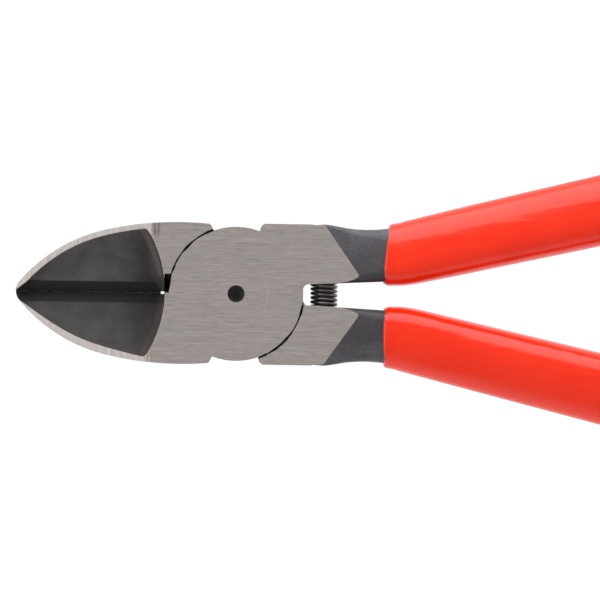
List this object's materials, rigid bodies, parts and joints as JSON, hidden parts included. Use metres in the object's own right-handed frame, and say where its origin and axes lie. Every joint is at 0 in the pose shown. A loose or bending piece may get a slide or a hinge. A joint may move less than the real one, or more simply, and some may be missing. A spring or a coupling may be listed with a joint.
{
  "type": "diagonal cutting pliers",
  "caption": "Lap-joint diagonal cutting pliers with hollow-ground jaws, an opening spring between the shanks and dipped grip sleeves.",
  "frame": {"origin": "where the pivot axis meets the back face of the head", "axes": "+X along the tool from the pivot towards the handle ends, jaw tips at -X; +Y across, towards the upper handle; +Z through the thickness, from the back face to the front face"},
  "size_m": [0.16, 0.05, 0.01],
  "materials": {
    "forged_steel": "ground faces, black forged hollows and shanks",
    "rivet_steel": "ground flush with the head",
    "spring_steel": "black oiled wire",
    "red_vinyl": "glossy dipped vinyl"
  },
  "bodies": {
    "back": {"back_half": "forged_steel", "pivot_rivet": "rivet_steel", "opening_spring": "spring_steel", "lower_grip_sleeve": "red_vinyl"},
    "front": {"front_half": "forged_steel", "upper_grip_sleeve": "red_vinyl"}
  },
  "joints": [
    {"name": "pivot", "type": "hinge", "parent": "back", "child": "front", "pos_m": [0, 0, 0.005], "axis": [0, 0, 1], "range_deg": [0, 38], "stiffness_Nm_per_rad": 0.2, "springref_deg": 40.11, "deforming": ["opening_spring"]}
  ]
}
